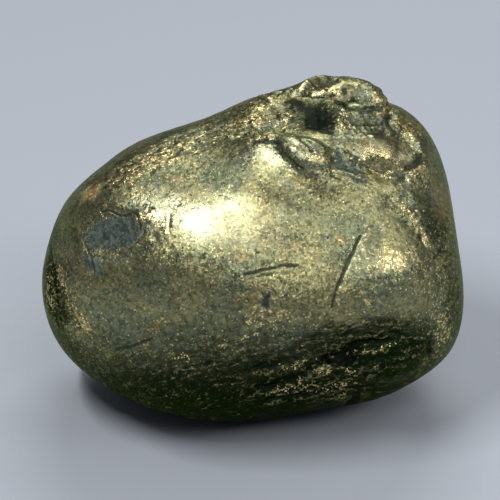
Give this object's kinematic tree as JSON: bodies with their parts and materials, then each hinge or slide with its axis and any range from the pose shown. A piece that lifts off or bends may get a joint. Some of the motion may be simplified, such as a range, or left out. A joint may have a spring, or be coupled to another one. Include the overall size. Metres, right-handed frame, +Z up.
{
  "type": "chalcopyrite specimen",
  "caption": "Tumbled nugget of brassy copper ore: a rounded, slightly egg-shaped stone with a knobbed, pitted shoulder and layered lower ledges.",
  "frame": {"origin": "on the ground, under the middle of the stone's bounding box", "axes": "+Z up, +X along the stone's length towards its broken shoulder, -Y towards the viewer"},
  "size_m": [0.03, 0.0248, 0.0241],
  "materials": {
    "chalcopyrite": "worn greenish brass-yellow metallic lustre with a fine sparkling grain, tarnished olive in its hollows"
  },
  "bodies": {
    "root": {"chalcopyrite_stone": "chalcopyrite"}
  },
  "joints": []
}
